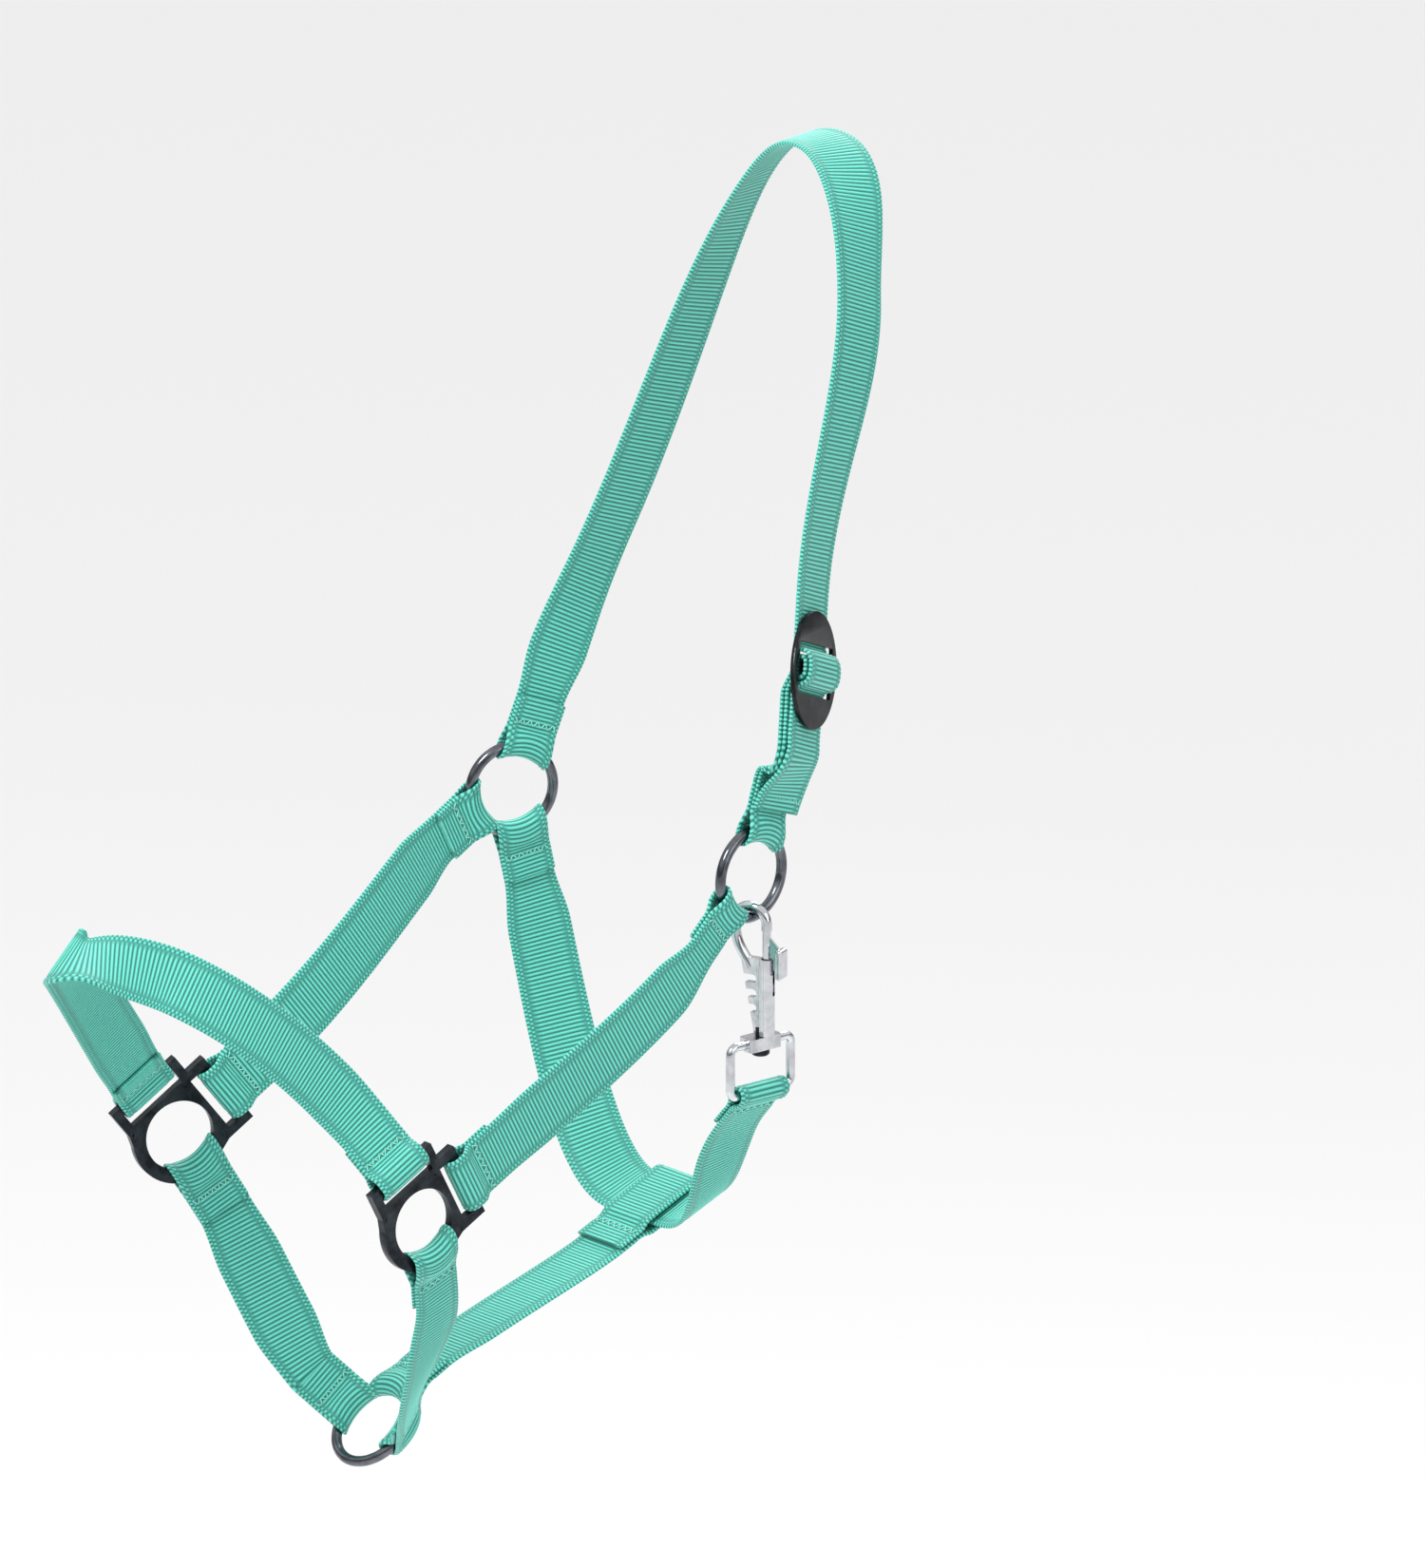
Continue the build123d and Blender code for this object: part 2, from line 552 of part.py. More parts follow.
def hook_bow():
    """The bent wire that rises from the plate's slim edge and comes down onto the bolt."""
    left = BARREL_OFFSET - HOOK_LOOP_WIDTH
    tip = (BARREL_OFFSET, HOOK_TIP_HEIGHT)
    bend_radius = (BARREL_OFFSET - left) / 2
    crown_height = HOOK_INSIDE_TOP + HOOK_WIRE / 2 - bend_radius
    root = (HOOK_ROOT_OFFSET, SNAP_BODY_HEIGHT - 4)
    line = (
        Bezier(root, (HOOK_ROOT_OFFSET - 1, SNAP_BODY_HEIGHT + 1), (left, SNAP_BODY_HEIGHT + 2), (left, crown_height))
        + ThreePointArc(
            (left, crown_height), (left + bend_radius, crown_height + bend_radius), (BARREL_OFFSET, crown_height)
        )
        + Line((BARREL_OFFSET, crown_height), tip)
    )
    section = Plane(origin=tip + (0,), z_dir=(0, 1, 0)) * Circle(HOOK_WIRE / 2)
    return sweep(section, path=line)


def snap_bolt():
    """Round bolt that closes the hook from below, with a wider foot on the spring."""
    foot = Plane(origin=(BARREL_OFFSET, spring_top(), 0), z_dir=(0, 1, 0))
    shaft = foot * extrude(Circle(BOLT_DIAMETER / 2), amount=HOOK_TIP_HEIGHT - spring_top() - 0.1)
    collar = foot * extrude(Circle(BOLT_COLLAR / 2), amount=BOLT_COLLAR_HEIGHT)
    return SNAP * (shaft + collar)


def spring_top():
    return BARREL_FLOOR + BOLT_TRAVEL + 4.5


def snap_spring():
    """Coil spring under the bolt."""
    height = spring_top() - BARREL_FLOOR - SPRING_WIRE
    pitch = height / SPRING_TURNS
    path = Helix(pitch, height, SPRING_DIAMETER / 2)
    section = Plane(origin=path @ 0, z_dir=path % 0) * Circle(SPRING_WIRE / 2)
    coil = sweep(section, path=path, is_frenet=True)
    lift = Plane(origin=(BARREL_OFFSET, BARREL_FLOOR + SPRING_WIRE / 2, 0), z_dir=(0, 1, 0))
    return SNAP * (lift * coil)


def snap_thumb_lever():
    """Thin plate on the bolt, with a pad for the thumb, that slides in the barrel's slit."""
    pad_left = BARREL_OFFSET + BARREL_DIAMETER / 2 + 1.6
    pad_top = HOOK_TIP_HEIGHT - 7
    plate = Polygon(
        (BARREL_OFFSET, HOOK_TIP_HEIGHT - 1), (pad_left + 1, pad_top), (pad_left + 1, pad_top - 8),
        (BARREL_OFFSET, pad_top - 8),
        align=None,
    )
    blade = extrude(plate, amount=LEVER_THICKNESS / 2, both=True)
    pad_centre = (pad_left + TAB_THICKNESS / 2, pad_top - TAB_HEIGHT / 2 + 0.5, 0)
    pad = Pos(*pad_centre) * Box(TAB_THICKNESS, TAB_HEIGHT, TAB_DEPTH)
    pad = fillet(pad.edges(), 1.0)
    shaft = Plane(origin=(BARREL_OFFSET, 0, 0), z_dir=(0, 1, 0))
    hole = shaft * extrude(Circle(BOLT_DIAMETER / 2), amount=HOOK_TIP_HEIGHT)
    return SNAP * (blade + pad - hole)


def barrel_slit():
    """Room in the barrel's outer wall for the thumb lever over its whole travel."""
    depth = 5.0 + BOLT_TRAVEL + 1.0
    width = BARREL_DIAMETER
    centre = (BARREL_OFFSET + width / 2, SNAP_BODY_HEIGHT - depth / 2, 0)
    return Pos(*centre) * Box(width, depth, LEVER_THICKNESS + 2 * CLEARANCE)


def swivel_rivet():
    """Shank fixed in the body's foot and the head that carries the eye."""
    down = Plane(origin=(0, BARREL_FLOOR - 1.2, 0), z_dir=(0, -1, 0))
    head_drop = EYE_BLOCK_HEIGHT + 2 * SWIVEL_GAP
    shank = down * extrude(Circle(RIVET_DIAMETER / 2), amount=BARREL_FLOOR - 1.2 + head_drop + 1)
    head = Plane(origin=(0, -head_drop, 0), z_dir=(0, -1, 0)) * extrude(
        Circle(RIVET_HEAD_DIAMETER / 2), amount=RIVET_HEAD_HEIGHT
    )
    head = fillet(head.edges().sort_by(Axis.Y)[0], 1.2)
    return SNAP * (shank + head)


def snap_eye():
    """Block that turns on the rivet, with a squared wire loop for the webbing."""
    half = (EYE_INNER_WIDTH + EYE_WIRE) / 2
    top = -SWIVEL_GAP - EYE_BLOCK_HEIGHT / 2
    low = -EYE_BAR_DROP
    root = EYE_BLOCK_WIDTH / 2 - 1
    loop = FilletPolyline(
        (-root, top), (-half, top), (-half, low), (half, low), (half, top), (root, top), radius=EYE_CORNER_RADIUS
    )
    section = Plane(origin=(-root, top, 0), z_dir=(1, 0, 0)) * Circle(EYE_WIRE / 2)
    wire = sweep(section, path=loop)
    block = Pos(0, top, 0) * Box(EYE_BLOCK_WIDTH, EYE_BLOCK_HEIGHT, EYE_BLOCK_DEPTH)
    block = fillet(block.edges().filter_by(Axis.Y), 1.5)
    bore = Plane(origin=(0, 0, 0), z_dir=(0, -1, 0)) * extrude(
        Circle(RIVET_DIAMETER / 2 + 0.05), amount=EYE_BLOCK_HEIGHT * 2
    )
    return EYE * (wire + block - bore)


def eye_loop():
    """The throat strap's end round the snap eye's bar."""
    centre = EYE.origin - UP * EYE_BAR_DROP
    room = EYE_WIRE / 2 + CLEARANCE
    pull = Vector(0, 0.68, -0.74).normalized()
    return loop_end(centre, pull, NEAR_SIDE, room, room, room, EYE_FOLD_WIDTH)


# ---------------------------------------------------------------- the whole halter

NODES = {
    "noseband": noseband,
    "cheek_strap_near": cheek_strap_near,
    "cheek_strap_far": cheek_strap_far,
    "chin_strap_near": chin_strap_near,
    "chin_strap_far": chin_strap_far,
    "connecting_strap": connecting_strap,
    "throat_strap": throat_strap,
    "crown_strap": crown_strap,
    "crown_chape": crown_chape,
    "cheek_ring_near": lambda: ring(NEAR_RING),
    "cheek_ring_far": lambda: ring(FAR_RING),
    "lead_ring": lambda: ring(LEAD_RING),
    "halter_square_near": lambda: halter_square(NEAR_SQUARE),
    "halter_square_far": lambda: halter_square(FAR_SQUARE),
    "crown_slide": crown_slide,
    "snap_body": snap_body,
    "snap_bolt": snap_bolt,
    "snap_thumb_lever": snap_thumb_lever,
    "snap_spring": snap_spring,
    "snap_swivel_rivet": swivel_rivet,
    "snap_eye": snap_eye,
}

os.makedirs("parts", exist_ok=True)
for name, make in NODES.items():
    export_step(make(), f"parts/{name}.step")
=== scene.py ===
from math import ceil, cos, pi, radians, sin, sqrt

import bpy
import numpy as np
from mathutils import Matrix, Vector


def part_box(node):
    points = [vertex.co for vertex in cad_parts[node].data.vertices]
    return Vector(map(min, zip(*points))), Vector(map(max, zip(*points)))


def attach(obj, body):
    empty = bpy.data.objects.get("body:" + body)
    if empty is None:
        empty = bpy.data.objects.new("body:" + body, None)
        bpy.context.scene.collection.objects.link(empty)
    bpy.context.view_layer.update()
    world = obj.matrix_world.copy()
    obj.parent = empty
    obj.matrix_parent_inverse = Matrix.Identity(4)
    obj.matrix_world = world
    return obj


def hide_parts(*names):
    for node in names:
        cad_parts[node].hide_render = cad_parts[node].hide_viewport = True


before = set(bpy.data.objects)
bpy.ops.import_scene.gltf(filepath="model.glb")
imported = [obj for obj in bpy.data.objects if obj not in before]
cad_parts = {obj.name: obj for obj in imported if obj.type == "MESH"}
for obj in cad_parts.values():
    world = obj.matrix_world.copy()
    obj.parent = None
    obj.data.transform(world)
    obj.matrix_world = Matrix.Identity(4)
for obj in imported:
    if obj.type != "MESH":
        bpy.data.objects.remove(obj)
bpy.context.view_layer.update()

# Lengths in the strap code are in millimetres, as in the CAD source, and become metres in the mesh.
MM = 0.001

# Webbing
WEBBING_WIDTH = 25.0
WEBBING_THICKNESS = 2.0
LAYER_HALF = 0.78           # half the cloth's mean thickness; its ribs rise and fall around it
SEWN_LENGTH = 16.0
PINCH_LENGTH = 5.0
GATHER_LENGTH = 22.0
CLEARANCE = 0.3
RIB_PITCH = 1.6
RIB_HEIGHT = 0.17
SAMPLES_PER_RIB = 5
SELVAGE = 2.6               # width of the knobbly band along each edge
EDGE_GROOVE = 1.3           # from the edge to the groove between the band's two rows of knobs
EDGE_ROUNDING = 0.9
GROOVE_LEVEL = -0.45        # the grooves' height, as a share of RIB_HEIGHT
EDGE_STAGGER = 0.4          # radians: shifts one edge's outer knobs forwards and the other's back
FOLD_STEPS = 60             # along each layer of a sewn end
BEND_PLACES = 25            # round the bar of a sewn end

# Seams
STITCH_FROM_FOLD = 7.0
STITCH_DIP = 0.35
STITCH_DIP_REACH = 1.5
STITCH_DIP_ABOVE = 0.3      # the thin rounded edge, below this height, isn't pulled in
HEM_FROM_TIP = 5.0
SEAM_MARGIN = 2.6           # left free beside a seam, both sides together
TOOTH_PITCH = 1.7
ZIGZAG_HALF = 1.1
THREAD_RADIUS = 0.24
THREAD_ARCH = 0.18
THREAD_SINK = 0.05
THREAD_SIDES = 6
THREAD_SWELL = ((0.0, 0.25), (0.12, 0.85), (0.5, 1.1), (0.88, 0.85), (1.0, 0.25))

# Hardware that the straps go round
RING_WIRE = 4.0
RING_RADIUS = 16.5
RING_FOLD_WIDTH = 20.0
HOOK_FOLD_WIDTH = 16.0      # of the fold beside the snap's hook
SQUARE_THICKNESS = 3.6
SQUARE_HOLE_RADIUS = 13.4
SQUARE_BAND_RADIUS = 18.5
SQUARE_BAR = 3.6
BAR_CLEARANCE = 0.1         # past the corner of the square's bar
SLOT_NEAR_EDGE = 16.0
SLOT_HEIGHT = 5.8
SLOT_SHIFT = 1.3
SLOT_FOLD_WIDTH = 23.6
CHIN_FOLD_WIDTH = 21.0
SLIDE_THICKNESS = 1.8
SLIDE_BAR = 5.0
LAYER_GAP = 0.3
CHAPE_ROOM = 0.5
EYE_WIRE = 3.4
EYE_FOLD_WIDTH = 23.2

# Where the hardware hangs and how it is turned
HALF_NOSE = 69.0
RING_PLACE = (-92.0, -248.0)
NEAR_SQUARE_PLACE = (-250.5, -350.0)
FAR_SQUARE_PLACE = (-252.3, -349.5)
LEAD_RING_PLACE = (-216.0, -452.0)
THROAT_LOW_PLACE = (-80.0, -393.0)
SLIDE_PLACE = (-64.5, -72.0, -174.0)
CROWN_FAR_PLACE = (-50.0, 61.0, -150.0)
NOSE_FRONT_PLACE = (-359.5, 5.0, -243.0)
CROWN_NEAR_PLACE = (-19.0, -44.0, -44.5)
NEAR_RING_YAW = -7.0
FAR_RING_YAW = 18.0
FAR_SQUARE_YAW = 18.0
NEAR_SQUARE_TILT = 17.0
FAR_SQUARE_TILT = 7.0
LEAD_RING_PITCH = 46.0
UP = Vector((0, 0, 1))
NEAR_SIDE = Vector((0, -1, 0))


# ---------------------------------------------------------------- frames and directions

class Plane:
    """A place with its own x, y and z directions."""

    def __init__(self, origin, x_dir, z_dir):
        self.origin = Vector(origin)
        self.x_dir = Vector(x_dir).normalized()
        self.z_dir = Vector(z_dir).normalized()
        self.y_dir = self.z_dir.cross(self.x_dir)

    def direction(self, angle):
        return self.x_dir * cos(radians(angle)) + self.y_dir * sin(radians(angle))


def side_plane(place, side, yaw=0.0, tilt=0.0):
    """Plane of a piece on one side of the head: x runs back, y up, z towards the near side."""
    facing = Vector((-sin(radians(yaw)), -cos(radians(yaw)), 0))
    level = Plane((place[0], side * HALF_NOSE, place[1]), UP.cross(facing), facing)
    return Plane(level.origin, level.direction(-tilt), facing)


def square_to(vector, direction):
    return (vector - direction * vector.dot(direction)).normalized()


NEAR_RING = side_plane(RING_PLACE, -1, NEAR_RING_YAW)
FAR_RING = side_plane(RING_PLACE, 1, FAR_RING_YAW)
NEAR_SQUARE = side_plane(NEAR_SQUARE_PLACE, -1, tilt=NEAR_SQUARE_TILT)
FAR_SQUARE = side_plane(FAR_SQUARE_PLACE, 1, FAR_SQUARE_YAW, FAR_SQUARE_TILT)
LEAD_BACK = Vector((cos(radians(LEAD_RING_PITCH)), 0, sin(radians(LEAD_RING_PITCH))))
LEAD_RING = Plane(
    (LEAD_RING_PLACE[0], 0, LEAD_RING_PLACE[1]), LEAD_BACK, LEAD_BACK.cross(Vector((0, 1, 0)))
)
THROAT_LOW = Vector((THROAT_LOW_PLACE[0], 0, THROAT_LOW_PLACE[1]))
SLIDE_UP = Vector((0.3, 0.27, 0.915)).normalized()
SLIDE_OUT = square_to(Vector((0.36, -0.93, 0)), SLIDE_UP)
SLIDE_MIDDLE = Vector(SLIDE_PLACE)


# ---------------------------------------------------------------- a strap's line

class Place:
    """A point of a strap's line: its way, its outer side, its width, and how it sags round a ring."""

    def __init__(self, point, way, outer, width, sag=None, sag_radius=1.0, dip=0.0):
        self.point = point
        self.way = way
        self.outer = outer
        self.width = width
        self.sag = sag or Vector((0, 0, 0))
        self.sag_radius = sag_radius
        self.dip = dip


def smooth(t):
    t = min(1.0, max(0.0, t))
    return t * t * (3 - 2 * t)


def loop(centre, pull, outer, back, front, gap, width, sag=None, sag_radius=1.0):
    """The sewn end of a strap, from the cut end of its under layer round the bar and out again."""
    outer = square_to(outer, pull)
    across = pull.cross(outer)
    half = WEBBING_THICKNESS / 2
    bulge = gap + half
    arc_centre = gap - back
    sewn = front + SEWN_LENGTH
    stitch = front + STITCH_FROM_FOLD
    run = []
    for i in range(FOLD_STEPS + 1):
        x = arc_centre + (sewn - arc_centre) * i / FOLD_STEPS
        open_share = 1 - smooth((x - front) / PINCH_LENGTH)
        dip = STITCH_DIP * max(0.0, 1 - abs(x - stitch) / STITCH_DIP_REACH)
        run.append((x, half + gap * open_share, open_share, dip))
    turns = np.linspace(-pi / 2, pi / 2, BEND_PLACES)
    arc = [(arc_centre - bulge * cos(a), bulge * sin(a)) for a in turns]
    under = [(x, -y, share, dip) for x, y, share, dip in reversed(run)]
    bend = [(x, y, 1.0, 0.0) for x, y in arc[1:-1]]
    line = under + bend + run
    places = []
    for i, (x, y, share, dip) in enumerate(line):
        ahead = line[min(i + 1, len(line) - 1)]
        behind = line[max(i - 1, 0)]
        way = (pull * (ahead[0] - behind[0]) + outer * (ahead[1] - behind[1])).normalized()
        point = centre + pull * x + outer * y
        place_sag = sag * share if sag else None
        places.append(Place(point, way, across.cross(way), width, place_sag, sag_radius, dip))
    stitches = {
        "centre": centre + pull * stitch, "pull": pull, "outer": outer, "across": across, "width": width,
    }
    return {
        "places": places, "point": centre + pull * sewn + outer * half, "pull": pull,
        "outer": outer, "width": width, "stitches": stitches,
    }


def ring_loop(ring, angle, facing, tilt=0.0, width=RING_FOLD_WIDTH):
    """A strap's end round the wire of a ring: it hugs the wire's curve."""
    radial = ring.direction(angle)
    pull = radial * cos(radians(tilt)) + ring.z_dir * sin(radians(tilt))
    room = RING_WIRE / 2 + CLEARANCE
    centre = ring.origin + radial * RING_RADIUS
    return loop(centre, pull, ring.z_dir * facing, room, room, room, width, radial * -1, RING_RADIUS)


def slot_loop(square, side, facing, tilt=0.0):
    """A strap's end round the outer bar of a halter square: side -1 in front, 1 behind."""
    radial = square.direction(90 - 45 * side)
    pull = radial * cos(radians(tilt)) + square.z_dir * sin(radians(tilt))
    along = square.direction(90 + 45 * side)
    bar_offset = SLOT_NEAR_EDGE + SLOT_HEIGHT + SQUARE_BAR / 2
    centre = square.origin + radial * bar_offset + along * SLOT_SHIFT
    room = SQUARE_BAR / 2 * sqrt(2) + BAR_CLEARANCE
    return loop(centre, pull, square.z_dir * facing, room, room, room, SLOT_FOLD_WIDTH)


def chin_loop(square, angle, facing, tilt):
    """The chin strap's end round the bottom of a halter square's round band."""
    radial = square.direction(angle)
    pull = radial * cos(radians(tilt)) + square.z_dir * sin(radians(tilt))
    band_middle = (SQUARE_HOLE_RADIUS + SQUARE_BAND_RADIUS) / 2
    half_band = SQUARE_BAND_RADIUS - band_middle
    gap = SQUARE_THICKNESS / 2 + CLEARANCE + half_band * abs(sin(radians(tilt)))
    centre = square.origin + radial * band_middle
    room = half_band + CLEARANCE
    back = room + gap / 3
    outer = square.z_dir * facing
    return loop(centre, pull, outer, back, room, gap, CHIN_FOLD_WIDTH, radial * -1, band_middle)


def knot(point, direction, outer, before, after):
    """A point that a curve goes through: its way, its outer side, and its two handles' lengths."""
    direction = Vector(direction).normalized()
    outer = square_to(Vector(outer), direction)
    return {"point": Vector(point), "way": direction, "outer": outer, "before": before, "after": after}


def leaving(end, handle):
    return knot(end["point"], end["pull"], end["outer"], handle, handle)


def arriving(end, handle):
    return knot(end["point"], end["pull"] * -1, end["outer"], handle, handle)


def slide_knot(along, out, way, outer, before, after):
    """A knot in the slide's own plane: along its height and out from its middle."""
    point = SLIDE_MIDDLE + SLIDE_UP * along + SLIDE_OUT * out
    direction = SLIDE_UP * way[0] + SLIDE_OUT * way[1]
    return knot(point, direction, SLIDE_UP * outer[0] + SLIDE_OUT * outer[1], before, after)


def curve(knots, start_width=WEBBING_WIDTH, end_width=WEBBING_WIDTH):
    """Fine places along the cubic curves between knots, gathered at the ends."""
    found = []
    for first, last in zip(knots, knots[1:]):
        a, d = first["point"], last["point"]
        b = a + first["way"] * first["after"]
        c = d - last["way"] * last["before"]
        steps = max(12, ceil((d - a).length))
        for i in range(1 if found else 0, steps + 1):
            t = i / steps
            s = 1 - t
            point = a * s**3 + b * (3 * s**2 * t) + c * (3 * s * t**2) + d * t**3
            way = ((b - a) * (3 * s**2) + (c - b) * (6 * s * t) + (d - c) * (3 * t**2)).normalized()
            ease = smooth(t)
            outer = square_to(first["outer"] * (1 - ease) + last["outer"] * ease, way)
            found.append(Place(point, way, outer, WEBBING_WIDTH))
    travelled = [0.0]
    for one, other in zip(found, found[1:]):
        travelled.append(travelled[-1] + (other.point - one.point).length)
    for place, distance in zip(found, travelled):
        from_start = start_width + (WEBBING_WIDTH - start_width) * smooth(distance / GATHER_LENGTH)
        remaining = travelled[-1] - distance
        from_end = end_width + (WEBBING_WIDTH - end_width) * smooth(remaining / GATHER_LENGTH)
        place.width = min(from_start, from_end)
    return found


def turned_back(places):
    """The same places walked the other way, with the same outer side."""
    return [
        Place(p.point, p.way * -1, p.outer, p.width, p.sag, p.sag_radius, p.dip) for p in reversed(places)
    ]


def strap(start, end, start_handle, end_handle, middle=()):
    """A strap with a sewn loop at both ends."""
    knots = [leaving(start, start_handle), *middle, arriving(end, end_handle)]
    run = curve(knots, start["width"], end["width"])
    places = start["places"] + run[1:-1] + turned_back(end["places"])
    return places, [start["stitches"], end["stitches"]]


# ---------------------------------------------------------------- the straps' lines

NOSE_FRONT_WAY = (0.613, 0.731, -0.301)
NOSE_FRONT_OUTER = (-0.52, 0.66, 0.54)
NOSE_BRIDGE_PLACE = (-331, -28, -251.5)
NOSE_BRIDGE_WAY = (-0.62, 0.67, 0.4)
NOSE_BRIDGE_OUTER = (-0.5, -0.65, 0.57)
NEAR_NOSE_TILT = -30.0
FAR_NOSE_TILT = 42.0
NEAR_CHIN_ANGLE = -53.0
FAR_CHIN_ANGLE = -53.0
NEAR_CHIN_TILT = -18.0
FAR_CHIN_TILT = 8.0
NEAR_LEAD_ANGLE = -82.0
FAR_LEAD_ANGLE = 78.0
NEAR_LEAD_TILT = 50.0
FAR_LEAD_TILT = 55.0
CONNECTING_TILT = -20.0
CROWN_ANGLE = 70.0
CROWN_FAR_WAY = (0.35, -0.2, 0.92)
CROWN_FAR_OUTER = (0, 1, 0.1)
CROWN_TOP_WAY = (0, -1, -0.08)
CROWN_NEAR_WAY = (-0.33, -0.42, -0.85)
CROWN_NEAR_OUTER = (0.25, -0.9, 0.35)
NEAR_CHEEK_ANGLE = 220.0
FAR_CHEEK_ANGLE = 203.0
THROAT_ANGLE = 282.0
NEAR_CHEEK_TILT = 0.0
FAR_CHEEK_TILT = 28.0
TAIL_LENGTH = 54.0
TAIL_LIFT = 2.2
# Along the slide's height from its middle: where the straps run level, leave it and bend
SLIDE_APPROACH = 26.0
TAIL_LEAVES = 25.0
TAIL_BENDS = 32.0
TAIL_LEAVES_DROP = 0.2      # how much further behind the slide the tail lies there
TAIL_BENDS_DROP = 0.5
CHAPE_UNDER = 11.0
CHAPE_OVER = 9.5
WRAP_RUN = 5.0              # the level run before the crown turns round the bar
WRAP_BULGE = 0.8            # how far out from the slide's plane its turns lie
EYE_PULL = (0, 0.68, -0.74)
PASSAGE_MARGIN = 1.0        # of the throat strap's level run past the connecting strap's edge


def noseband():
    front = knot(NOSE_FRONT_PLACE, NOSE_FRONT_WAY, NOSE_FRONT_OUTER, before=20, after=45)
    bridge = knot(NOSE_BRIDGE_PLACE, NOSE_BRIDGE_WAY, NOSE_BRIDGE_OUTER, before=30, after=20)
    start = slot_loop(NEAR_SQUARE, -1, 1, NEAR_NOSE_TILT)
    end = slot_loop(FAR_SQUARE, -1, -1, FAR_NOSE_TILT)
    return strap(start, end, 30, 15, [bridge, front])


def cheek_strap_near():
    start = slot_loop(NEAR_SQUARE, 1, 1, NEAR_CHEEK_TILT)
    end = ring_loop(NEAR_RING, NEAR_CHEEK_ANGLE, 1, width=HOOK_FOLD_WIDTH)
    return strap(start, end, 30, 30)


def cheek_strap_far():
    start = slot_loop(FAR_SQUARE, 1, -1)
    return strap(start, ring_loop(FAR_RING, FAR_CHEEK_ANGLE, -1, FAR_CHEEK_TILT), 45, 20)


def chin_strap_near():
    start = chin_loop(NEAR_SQUARE, NEAR_CHIN_ANGLE, 1, NEAR_CHIN_TILT)
    return strap(start, ring_loop(LEAD_RING, NEAR_LEAD_ANGLE, -1, NEAR_LEAD_TILT), 20, 20)


def chin_strap_far():
    start = chin_loop(FAR_SQUARE, FAR_CHIN_ANGLE, -1, FAR_CHIN_TILT)
    return strap(start, ring_loop(LEAD_RING, FAR_LEAD_ANGLE, -1, FAR_LEAD_TILT), 9, 8)


def connecting_strap():
    pull = (LEAD_RING.origin - THROAT_LOW).normalized()
    room = WEBBING_WIDTH / 2 + 3 * CLEARANCE
    gap = WEBBING_THICKNESS / 2 + 2 * CLEARANCE
    passage = loop(THROAT_LOW, pull, UP * -1, room, room, gap, WEBBING_WIDTH)
    return strap(ring_loop(LEAD_RING, 0, -1, CONNECTING_TILT), passage, 20, 16)


def throat_strap():
    outer = square_to(UP * -1, (LEAD_RING.origin - THROAT_LOW).normalized())
    half_run = NEAR_SIDE * (WEBBING_WIDTH / 2 + PASSAGE_MARGIN)
    passage = [
        knot(THROAT_LOW - half_run, NEAR_SIDE, outer, before=30, after=5),
        knot(THROAT_LOW + half_run, NEAR_SIDE, outer, before=5, after=24),
    ]
    return strap(ring_loop(FAR_RING, THROAT_ANGLE, -1), eye_loop(), 48, 26, passage)


def eye_loop():
    """The throat strap's end round the snap eye's bar, where the CAD eye has it."""
    low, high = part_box("snap_eye")
    middle = (low + high) / 2 / MM
    centre = Vector((middle.x, middle.y, low.z / MM + EYE_WIRE / 2))
    room = EYE_WIRE / 2 + CLEARANCE
    pull = Vector(EYE_PULL).normalized()
    return loop(centre, pull, NEAR_SIDE, room, room, room, EYE_FOLD_WIDTH)


